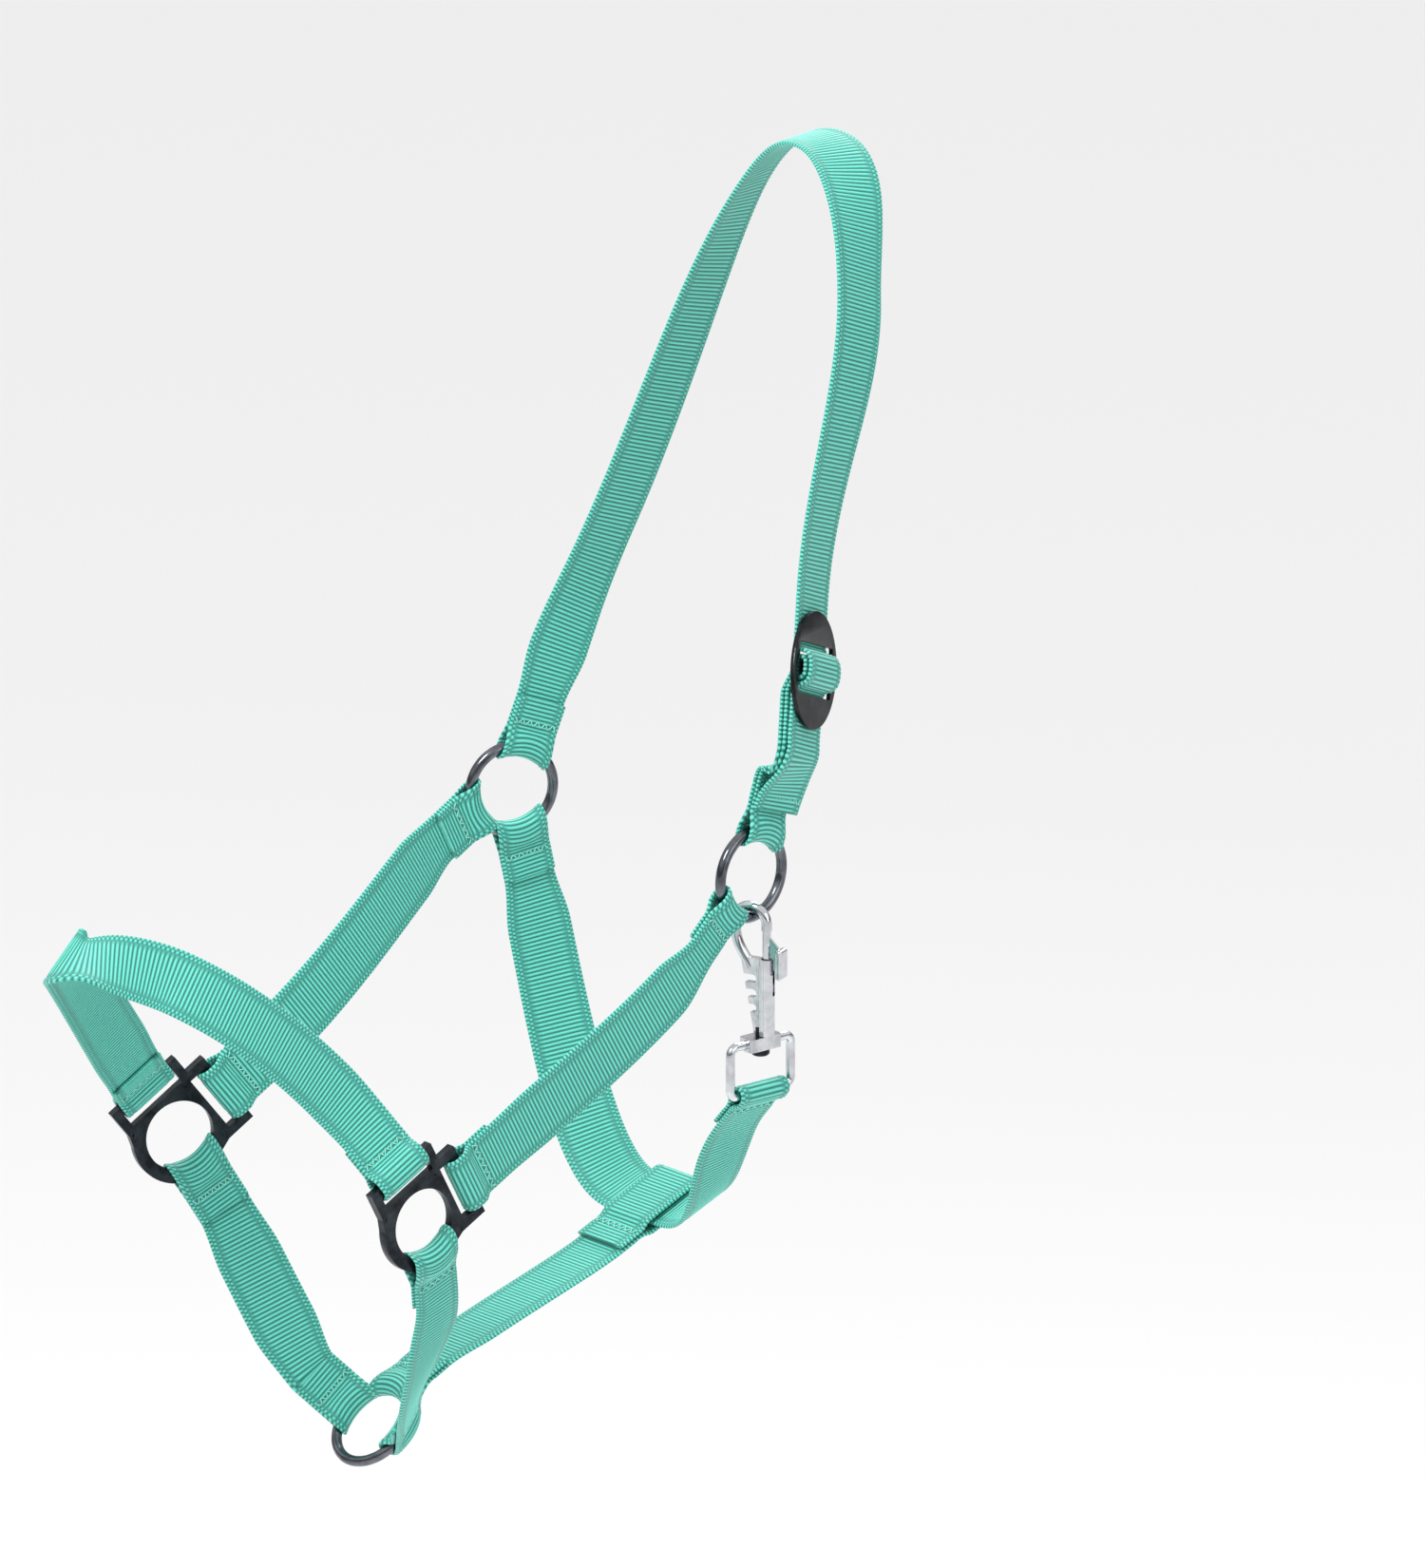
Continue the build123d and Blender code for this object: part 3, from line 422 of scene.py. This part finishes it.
def crown_strap():
    """From the far ring over the poll, through the slide and down to its free tail."""
    thick = WEBBING_THICKNESS
    behind = -(SLIDE_THICKNESS / 2 + LAYER_GAP + thick / 2)
    wrap_half = SLIDE_BAR / 2 + CHAPE_ROOM + thick + LAYER_GAP + thick / 2
    over = SLIDE_THICKNESS / 2 + CHAPE_ROOM + thick + LAYER_GAP + thick / 2
    to_ring = (NEAR_RING.origin - SLIDE_MIDDLE).normalized()
    tail_tip = SLIDE_MIDDLE + to_ring * TAIL_LENGTH + NEAR_RING.z_dir * TAIL_LIFT
    start = ring_loop(FAR_RING, CROWN_ANGLE, -1)
    knots = [
        leaving(start, 30),
        knot(CROWN_FAR_PLACE, CROWN_FAR_WAY, CROWN_FAR_OUTER, 30, 80),
        knot((0, 0, thick / 2), CROWN_TOP_WAY, UP, 42, 22),
        knot(CROWN_NEAR_PLACE, CROWN_NEAR_WAY, CROWN_NEAR_OUTER, 22, 38),
        slide_knot(SLIDE_APPROACH, behind, (-1, 0), (0, 1), 45, 5),
        slide_knot(wrap_half + WRAP_RUN, behind, (-1, 0), (0, 1), 5, 3.4),
        slide_knot(wrap_half, WRAP_BULGE, (-0.15, 1), (1, 0.15), 2, 2.4),
        slide_knot(0, over, (-1, 0), (0, 1), 4.6, 4.6),
        slide_knot(-wrap_half, WRAP_BULGE, (-0.15, -1), (-1, 0.15), 2.4, 2),
        slide_knot(-wrap_half - WRAP_RUN, behind, (-1, 0), (0, 1), 3.4, 5),
        slide_knot(-TAIL_LEAVES, behind - TAIL_LEAVES_DROP, (-1, 0), (0, 1), 5, 3),
        slide_knot(-TAIL_BENDS, behind - TAIL_BENDS_DROP, (-1, -0.25), (-0.25, 1), 3, 7),
        knot(tail_tip, to_ring, NEAR_RING.z_dir, 12, 0),
    ]
    run = curve(knots, start["width"])
    hem = {
        "centre": tail_tip - to_ring * HEM_FROM_TIP, "pull": to_ring, "outer": run[-1].outer,
        "across": to_ring.cross(run[-1].outer), "width": WEBBING_WIDTH, "single": True,
    }
    return start["places"] + run[1:], [start["stitches"], hem]


def crown_chape():
    """One band: up behind the slide, round its bar, down in front and round the near ring."""
    half = WEBBING_THICKNESS / 2
    wrap = CHAPE_ROOM + half
    end_x = SLIDE_BAR / 2 - SLIDE_THICKNESS / 2
    lift = SLIDE_THICKNESS / 2 + wrap
    reach = end_x + lift
    front_out = -(SLIDE_THICKNESS / 2 + 2 * LAYER_GAP + WEBBING_THICKNESS + half)
    back_out = front_out - WEBBING_THICKNESS
    end = ring_loop(NEAR_RING, CROWN_ANGLE, 1)
    under = end["point"] - end["outer"] * WEBBING_THICKNESS
    knots = [
        knot(under, end["pull"], end["outer"] * -1, 0, 12),
        slide_knot(-SLIDE_APPROACH, back_out, (1, 0), (0, -1), 12, 5),
        slide_knot(-CHAPE_UNDER, back_out, (1, 0), (0, -1), 5, 5),
        slide_knot(end_x, -lift, (1, 0), (0, -1), 5, 1.3),
        slide_knot(reach, 0, (0, 1), (1, 0), 1.3, 1.3),
        slide_knot(end_x, lift, (-1, 0), (0, 1), 1.3, 1),
        slide_knot(-end_x, lift, (-1, 0), (0, 1), 1, 1.3),
        slide_knot(-reach, 0, (0, -1), (-1, 0), 1.3, 1.8),
        slide_knot(-CHAPE_OVER, front_out, (-1, 0), (0, 1), 3.4, 5),
        slide_knot(-SLIDE_APPROACH, front_out, (-1, 0), (0, 1), 5, 12),
        arriving(end, 12),
    ]
    run = curve(knots, end["width"], end["width"])
    return run + turned_back(end["places"])[1:], [end["stitches"]]


# ---------------------------------------------------------------- cloth

EDGE_STEPS = (0.0, 0.3, 0.8, EDGE_GROOVE, 1.75, 2.2, SELVAGE)
MIDDLE_COLUMNS = 7
MOST_SAG = 0.98             # across the strap, as a share of the ring's radius: keeps the root real


def resampled(places):
    """Places at even steps along the line, as arrays."""
    rows = [
        [*p.point, *p.way, *p.outer, p.width, *p.sag, p.sag_radius, p.dip] for p in places
    ]
    table = np.array(rows)
    step = np.linalg.norm(np.diff(table[:, :3], axis=0), axis=1)
    keep = np.concatenate([[True], step > 1e-6])
    table = table[keep]
    step = np.linalg.norm(np.diff(table[:, :3], axis=0), axis=1)
    travelled = np.concatenate([[0], np.cumsum(step)])
    count = int(travelled[-1] / (RIB_PITCH / SAMPLES_PER_RIB)) + 1
    at = np.linspace(0, travelled[-1], count)
    fine = np.stack([np.interp(at, travelled, table[:, i]) for i in range(table.shape[1])], axis=1)
    way = fine[:, 3:6] / np.linalg.norm(fine[:, 3:6], axis=1)[:, None]
    outer = fine[:, 6:9] - way * np.sum(fine[:, 6:9] * way, axis=1)[:, None]
    outer /= np.linalg.norm(outer, axis=1)[:, None]
    return {
        "at": at, "point": fine[:, :3], "across": np.cross(way, outer), "outer": outer,
        "width": fine[:, 9], "sag": fine[:, 10:13], "sag_radius": fine[:, 13], "dip": fine[:, 14],
    }


def columns(width):
    """Places across the webbing, from one edge to the other, for each row."""
    half = width / 2
    left = [-half + e for e in EDGE_STEPS]
    inner = half - SELVAGE
    shares = np.linspace(-1, 1, MIDDLE_COLUMNS + 2)[1:-1]
    middle = [inner * share for share in shares]
    right = [half - e for e in reversed(EDGE_STEPS)]
    return np.stack(left + middle + right, axis=1)


def relief(at, across, width):
    """Height of the woven surface above the cloth, and how far up its ribs a point is."""
    from_edge = width[:, None] / 2 - np.abs(across)
    phase = 2 * pi * at[:, None] / RIB_PITCH
    rib = np.cos(phase)
    outer_row = np.cos(phase + pi / 2 + EDGE_STAGGER * np.sign(across))
    inner_row = np.cos(phase - pi / 2)
    selvage = np.where(from_edge < EDGE_GROOVE, outer_row, inner_row)
    in_groove = np.isclose(from_edge, EDGE_GROOVE) | np.isclose(from_edge, SELVAGE)
    height = np.where(from_edge > SELVAGE, rib, selvage)
    height = np.where(in_groove, GROOVE_LEVEL, height)
    rounding = np.clip(from_edge / EDGE_ROUNDING, 0, 1) ** 0.5
    return (LAYER_HALF + RIB_HEIGHT * height) * rounding, (height + 1) / 2


def cloth(name, places):
    """Ribbed webbing along a strap's line. It lacks one small triangle in the corner of each end."""
    line = resampled(places)
    across = columns(line["width"])
    height, ridge = relief(line["at"], across, line["width"])
    rows, count = across.shape
    bend = np.clip(np.abs(across) / line["sag_radius"][:, None], 0, MOST_SAG)
    drop = line["sag_radius"][:, None] * (1 - np.sqrt(1 - bend**2))
    base = line["point"][:, None, :] + line["across"][:, None, :] * across[:, :, None]
    base = base + line["sag"][:, None, :] * drop[:, :, None]
    normal = line["outer"][:, None, :]
    dip = line["dip"][:, None] * (height > STITCH_DIP_ABOVE)
    top = base + normal * (height - dip)[:, :, None]
    under = (base - normal * height[:, :, None])[:, 1:-1][:, ::-1]
    around = np.concatenate([top, under], axis=1)
    ring_size = around.shape[1]
    points = around.reshape(-1, 3) * MM
    shade = np.concatenate([ridge, ridge[:, 1:-1][:, ::-1]], axis=1).reshape(-1)
    u = np.concatenate([across, across[:, 1:-1][:, ::-1]], axis=1).reshape(-1)
    v = np.repeat(line["at"], ring_size)
    row = np.arange(rows - 1)[:, None] * ring_size
    col = np.arange(ring_size)[None, :]
    after = (col + 1) % ring_size
    quads = np.stack([row + col, row + after, row + after + ring_size, row + col + ring_size], axis=2)
    faces = quads.reshape(-1, 4)[:, ::-1]
    mesh = bpy.data.meshes.new(name)
    caps = []
    for first, flip in ((0, True), ((rows - 1) * ring_size, False)):
        for i in range(1, count - 1):
            below = ring_size - i
            corners = [first + i, first + i + 1, first + below - 1, first + below % ring_size]
            caps.append(corners if flip else corners[::-1])
        caps.append([first, first + 1, first + ring_size - 1][:: 1 if flip else -1])
    mesh.from_pydata(points.tolist(), [], faces.tolist() + caps)
    loops = np.empty(len(mesh.loops), dtype=np.int32)
    mesh.loops.foreach_get("vertex_index", loops)
    uv = mesh.uv_layers.new(name="weave")
    uv.data.foreach_set("uv", np.stack([u[loops], v[loops]], axis=1).astype(np.float32).reshape(-1))
    # How far up its ribs each point lies; the webbing material turns this into painted shade in the
    # grooves.
    paint = mesh.color_attributes.new("ridge", "FLOAT_COLOR", "POINT")
    colours = np.stack([shade, shade, shade, np.ones_like(shade)], axis=1).astype(np.float32)
    paint.data.foreach_set("color", colours.reshape(-1))
    mesh.polygons.foreach_set("use_smooth", [True] * len(mesh.polygons))
    mesh.validate()
    mesh.update()
    piece = bpy.data.objects.new(name, mesh)
    bpy.context.scene.collection.objects.link(piece)
    return piece, float(line["at"][-1])


def thread_bits(stitches):
    """Start, end and outer side of each thread of a zigzag row, on the faces that show."""
    found = []
    teeth = int(stitches["width"] / TOOTH_PITCH)
    single = stitches.get("single")
    for side in (1, -1):
        if side == -1 and single:
            level = LAYER_HALF
        else:
            level = LAYER_HALF + (0 if single else WEBBING_THICKNESS / 2) - STITCH_DIP / 2
        rise = stitches["outer"] * side * (level + RIB_HEIGHT)
        for i in range(teeth):
            ends = []
            for j in (i, i + 1):
                sideways = (j / teeth - 0.5) * (stitches["width"] - SEAM_MARGIN)
                swing = ZIGZAG_HALF if j % 2 else -ZIGZAG_HALF
                middle = stitches["centre"] + stitches["across"] * sideways
                ends.append(middle + stitches["pull"] * swing + rise)
            found.append((ends[0], ends[1], stitches["outer"] * side))
    return found


def stitching(name, bits):
    """Short rounded threads, all in one mesh."""
    points = []
    faces = []
    sides = THREAD_SIDES
    for start, end, outer in bits:
        way = (end - start).normalized()
        across = way.cross(outer)
        first = len(points)
        for along, swell in THREAD_SWELL:
            centre = start.lerp(end, along) + outer * (THREAD_ARCH * sin(pi * along) - THREAD_SINK)
            for k in range(sides):
                angle = 2 * pi * k / sides
                offset = (across * cos(angle) + outer * sin(angle)) * (THREAD_RADIUS * swell)
                points.append((centre + offset) * MM)
        last = len(THREAD_SWELL) - 1
        for r in range(last):
            for k in range(sides):
                a = first + r * sides + k
                b = first + r * sides + (k + 1) % sides
                faces.append((a, b, b + sides, a + sides))
        faces.append(tuple(first + k for k in reversed(range(sides))))
        faces.append(tuple(first + last * sides + k for k in range(sides)))
    mesh = bpy.data.meshes.new(name)
    mesh.from_pydata(points, [], faces)
    mesh.polygons.foreach_set("use_smooth", [True] * len(mesh.polygons))
    mesh.update()
    piece = bpy.data.objects.new(name, mesh)
    bpy.context.scene.collection.objects.link(piece)
    return piece


# ---------------------------------------------------------------- materials

def new_material(name):
    """A material with its nodes, its links and its main shader."""
    material = bpy.data.materials.new(name)
    material.use_nodes = True
    nodes = material.node_tree.nodes
    return material, nodes, material.node_tree.links, nodes["Principled BSDF"]


def set_values(shader, values):
    """Sets several inputs of a node by name."""
    for socket, value in values.items():
        shader.inputs[socket].default_value = value


def ramp(nodes, low, high, low_at=0.0, high_at=1.0):
    """A colour ramp between two colours."""
    node = nodes.new("ShaderNodeValToRGB")
    node.color_ramp.elements[0].position = low_at
    node.color_ramp.elements[0].color = (*low, 1)
    node.color_ramp.elements[1].position = high_at
    node.color_ramp.elements[1].color = (*high, 1)
    return node


def webbing_material():
    """Turquoise nylon: painted shade darkens the grooves between paler ribs; fine threads run along the
    strap.
    """
    material, nodes, links, shader = new_material("webbing")
    ridge = nodes.new("ShaderNodeVertexColor")
    ridge.layer_name = "ridge"
    # Painted shade: darker colour towards the bottom of each groove, the plain webbing colour on the ribs.
    painted_groove_shade = ramp(nodes, (0.012, 0.19, 0.155), (0.15, 0.76, 0.62), 0.1, 0.85)
    links.new(ridge.outputs["Color"], painted_groove_shade.inputs["Fac"])
    weave = nodes.new("ShaderNodeUVMap")
    weave.uv_map = "weave"
    stretch = nodes.new("ShaderNodeMapping")
    stretch.inputs["Scale"].default_value = (3.2, 0.9, 1)
    links.new(weave.outputs["UV"], stretch.inputs["Vector"])
    specks = nodes.new("ShaderNodeTexNoise")
    set_values(specks, {"Scale": 1.3, "Detail": 3.0, "Roughness": 0.7})
    links.new(stretch.outputs["Vector"], specks.inputs["Vector"])
    tone = ramp(nodes, (0.78, 0.8, 0.8), (1.0, 1.0, 1.0), 0.3, 0.7)
    links.new(specks.outputs["Fac"], tone.inputs["Fac"])
    mixed = nodes.new("ShaderNodeMix")
    mixed.data_type = "RGBA"
    mixed.blend_type = "MULTIPLY"
    mixed.inputs[0].default_value = 1.0
    links.new(painted_groove_shade.outputs["Color"], mixed.inputs[6])
    links.new(tone.outputs["Color"], mixed.inputs[7])
    links.new(mixed.outputs[2], shader.inputs["Base Color"])
    threads = nodes.new("ShaderNodeTexWave")
    threads.bands_direction = "X"
    set_values(threads, {"Scale": 0.62, "Distortion": 1.2, "Detail": 2.0, "Detail Scale": 1.5})
    links.new(weave.outputs["UV"], threads.inputs["Vector"])
    bump = nodes.new("ShaderNodeBump")
    set_values(bump, {"Strength": 0.35, "Distance": 0.0002})
    links.new(threads.outputs["Fac"], bump.inputs["Height"])
    links.new(bump.outputs["Normal"], shader.inputs["Normal"])
    set_values(shader, {
        "Roughness": 0.52, "Sheen Weight": 0.25, "Sheen Roughness": 0.4, "Specular IOR Level": 0.45,
    })
    return material


def thread_material():
    """Sewing thread, a little paler than the webbing."""
    material, nodes, links, shader = new_material("thread")
    noise = nodes.new("ShaderNodeTexNoise")
    set_values(noise, {"Scale": 900.0, "Detail": 2.0})
    colour = ramp(nodes, (0.10, 0.52, 0.43), (0.42, 0.86, 0.76), 0.35, 0.7)
    links.new(noise.outputs["Fac"], colour.inputs["Fac"])
    links.new(colour.outputs["Color"], shader.inputs["Base Color"])
    set_values(shader, {"Roughness": 0.45, "Sheen Weight": 0.3})
    return material


def metal_material(name, dark, light, roughness, metallic=1.0, bump_depth=0.00003, scale=160.0):
    """Cast or plated metal with clouded colour and a slightly uneven skin."""
    material, nodes, links, shader = new_material(name)
    place = nodes.new("ShaderNodeTexCoord")
    noise = nodes.new("ShaderNodeTexNoise")
    set_values(noise, {"Scale": scale, "Detail": 5.0, "Roughness": 0.6})
    links.new(place.outputs["Object"], noise.inputs["Vector"])
    colour = ramp(nodes, dark, light, 0.35, 0.68)
    links.new(noise.outputs["Fac"], colour.inputs["Fac"])
    links.new(colour.outputs["Color"], shader.inputs["Base Color"])
    gloss = nodes.new("ShaderNodeMapRange")
    set_values(gloss, {"To Min": roughness * 0.8, "To Max": roughness * 1.25})
    links.new(noise.outputs["Fac"], gloss.inputs["Value"])
    links.new(gloss.outputs["Result"], shader.inputs["Roughness"])
    fine = nodes.new("ShaderNodeTexNoise")
    set_values(fine, {"Scale": scale * 6, "Detail": 3.0})
    links.new(place.outputs["Object"], fine.inputs["Vector"])
    bump = nodes.new("ShaderNodeBump")
    set_values(bump, {"Strength": 0.5, "Distance": bump_depth})
    links.new(fine.outputs["Fac"], bump.inputs["Height"])
    links.new(bump.outputs["Normal"], shader.inputs["Normal"])
    set_values(shader, {"Metallic": metallic, "Specular IOR Level": 0.5})
    return material


# Rounded edges of the plate and cast pieces, in metres
SQUARE_BEVEL = 0.0006
SLIDE_BEVEL = 0.0004
BEVEL_SEGMENTS = 3
WELD_REACH = 1e-6
FLAT_ANGLE = radians(0.5)   # faces that meet at less than this become one
EDGE_ANGLE = radians(50)    # only edges sharper than this are rounded


def dress_node(name, material, bevel=0.0):
    """Gives a CAD node its material and, where it is cut from plate, rounded edges."""
    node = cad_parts[name]
    node.data.materials.clear()
    node.data.materials.append(material)
    if bevel:
        weld = node.modifiers.new("weld", "WELD")
        weld.merge_threshold = WELD_REACH
        flat = node.modifiers.new("flat", "DECIMATE")
        flat.decimate_type = "DISSOLVE"
        flat.angle_limit = FLAT_ANGLE
        edge = node.modifiers.new("edge", "BEVEL")
        edge.width = bevel
        edge.segments = BEVEL_SEGMENTS
        edge.limit_method = "ANGLE"
        edge.angle_limit = EDGE_ANGLE
        edge.use_clamp_overlap = True
        edge.harden_normals = True


# ---------------------------------------------------------------- build

webbing = webbing_material()
thread = thread_material()
STRAPS = {
    "noseband": (noseband, ["halter_square_near", "halter_square_far"]),
    "cheek_strap_near": (cheek_strap_near, ["halter_square_near", "cheek_ring_near"]),
    "cheek_strap_far": (cheek_strap_far, ["halter_square_far", "cheek_ring_far"]),
    "chin_strap_near": (chin_strap_near, ["halter_square_near", "lead_ring"]),
    "chin_strap_far": (chin_strap_far, ["halter_square_far", "lead_ring"]),
    "connecting_strap": (connecting_strap, ["lead_ring"]),
    "throat_strap": (throat_strap, ["cheek_ring_far", "snap_eye"]),
    "crown_strap": (crown_strap, ["cheek_ring_far", "crown_slide"]),
    "crown_chape": (crown_chape, ["crown_slide", "cheek_ring_near"]),
}
for node, (make, hardware) in STRAPS.items():
    places, rows = make()
    piece, length = cloth(node + "_webbing", places)
    piece.data.materials.append(webbing)
    bits = [bit for row in rows for bit in thread_bits(row)]
    sewing = stitching(node + "_stitches", bits)
    sewing.data.materials.append(thread)
    for part in (piece, sewing):
        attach(part, "webbing_frame")
    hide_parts(node)

ring_metal = metal_material("ring_steel", (0.085, 0.09, 0.105), (0.20, 0.21, 0.235), 0.14)
casting = metal_material("dark_casting", (0.010, 0.012, 0.016), (0.040, 0.050, 0.060), 0.32, 0.85, 0.00006)
plate = metal_material("dark_plate", (0.008, 0.009, 0.011), (0.03, 0.032, 0.036), 0.2, 0.8)
chrome = metal_material("snap_chrome", (0.50, 0.51, 0.54), (0.74, 0.75, 0.78), 0.1)
spring = metal_material("spring_steel", (0.3, 0.3, 0.3), (0.5, 0.5, 0.5), 0.3)
for name in ("cheek_ring_near", "cheek_ring_far", "lead_ring"):
    dress_node(name, ring_metal)
for name in ("halter_square_near", "halter_square_far"):
    dress_node(name, casting, bevel=SQUARE_BEVEL)
dress_node("crown_slide", plate, bevel=SLIDE_BEVEL)
for name in ("snap_body", "snap_bolt", "snap_thumb_lever", "snap_eye"):
    dress_node(name, chrome)
dress_node("snap_spring", spring)
dress_node("snap_swivel_rivet", plate)


# ---------------------------------------------------------------- camera, floor and light

AZIMUTH = radians(-40)
ELEVATION = radians(17.5)
CAMERA_DISTANCE = 20.0
SENSOR = 36.0
VIEW_HEIGHT = 578.947 * MM
POLL_IN_VIEW = (40.351 * MM, 236.842 * MM)    # right of and above the view's middle
FLOOR_DROP = 1.15
FLOOR_REACH = 60.0
SKY_STRENGTH = 0.95
# Each stop of the sky: 0 straight down to 1 straight up, and its grey. A dark band lies above the horizon.
SKY_STOPS = ((0.0, 0.95), (0.40, 1.0), (0.52, 0.22), (0.60, 0.30), (0.72, 1.0), (1.0, 1.0))

back = Vector((sin(AZIMUTH) * cos(ELEVATION), -cos(AZIMUTH) * cos(ELEVATION), sin(ELEVATION)))
right = Vector((cos(AZIMUTH), sin(AZIMUTH), 0))
above = back.cross(right)
aim = -right * POLL_IN_VIEW[0] - above * POLL_IN_VIEW[1]
camera_data = bpy.data.cameras.new("camera")
camera_data.sensor_width = SENSOR
camera_data.lens = SENSOR * CAMERA_DISTANCE / VIEW_HEIGHT
camera_data.clip_start = 1.0
camera_data.clip_end = 200.0
camera = bpy.data.objects.new("camera", camera_data)
bpy.context.scene.collection.objects.link(camera)
camera.location = aim + back * CAMERA_DISTANCE
camera.rotation_mode = "QUATERNION"
camera.rotation_quaternion = (-back).to_track_quat("-Z", "Y")
bpy.context.scene.camera = camera


def floor():
    """A wide white floor well below the halter."""
    mesh = bpy.data.meshes.new("floor")
    signs = ((-1, -1), (1, -1), (1, 1), (-1, 1))
    corners = [(x * FLOOR_REACH, y * FLOOR_REACH, -FLOOR_DROP) for x, y in signs]
    mesh.from_pydata(corners, [], [(0, 1, 2, 3)])
    material, _, _, shader = new_material("floor")
    set_values(shader, {"Base Color": (0.93, 0.93, 0.93, 1), "Roughness": 0.9})
    mesh.materials.append(material)
    piece = bpy.data.objects.new("floor", mesh)
    bpy.context.scene.collection.objects.link(piece)


def area_light(name, offset, size, power):
    """A soft square light that looks at the middle of the view."""
    data = bpy.data.lights.new(name, "AREA")
    data.size = size
    data.energy = power
    lamp = bpy.data.objects.new(name, data)
    bpy.context.scene.collection.objects.link(lamp)
    lamp.location = aim + offset
    lamp.rotation_mode = "QUATERNION"
    lamp.rotation_quaternion = (-offset).to_track_quat("-Z", "Y")


def sky():
    """White light from all round, with the dark band for the metal to mirror."""
    world = bpy.data.worlds.new("world")
    world.use_nodes = True
    nodes = world.node_tree.nodes
    links = world.node_tree.links
    place = nodes.new("ShaderNodeTexCoord")
    parts = nodes.new("ShaderNodeSeparateXYZ")
    links.new(place.outputs["Generated"], parts.inputs["Vector"])
    height = nodes.new("ShaderNodeMapRange")
    set_values(height, {"From Min": -1.0, "From Max": 1.0})
    links.new(parts.outputs["Z"], height.inputs["Value"])
    (low_at, low), (high_at, high) = SKY_STOPS[0], SKY_STOPS[-1]
    colour = ramp(nodes, (low,) * 3, (high,) * 3, low_at, high_at)
    for position, grey in SKY_STOPS[1:-1]:
        stop = colour.color_ramp.elements.new(position)
        stop.color = (grey, grey, grey, 1)
    links.new(height.outputs["Result"], colour.inputs["Fac"])
    links.new(colour.outputs["Color"], nodes["Background"].inputs["Color"])
    nodes["Background"].inputs["Strength"].default_value = SKY_STRENGTH
    bpy.context.scene.world = world


floor()
area_light("key", back * 1.2 - right * 1.0 + UP * 1.3, size=0.7, power=36)
area_light("fill", back * 1.3 + right * 1.3 + UP * 0.2, size=1.2, power=7)
area_light("rim", back * -1.2 + right * 0.3 + UP * 1.4, size=0.8, power=14)
sky()
bpy.context.scene.view_settings.view_transform = "Standard"
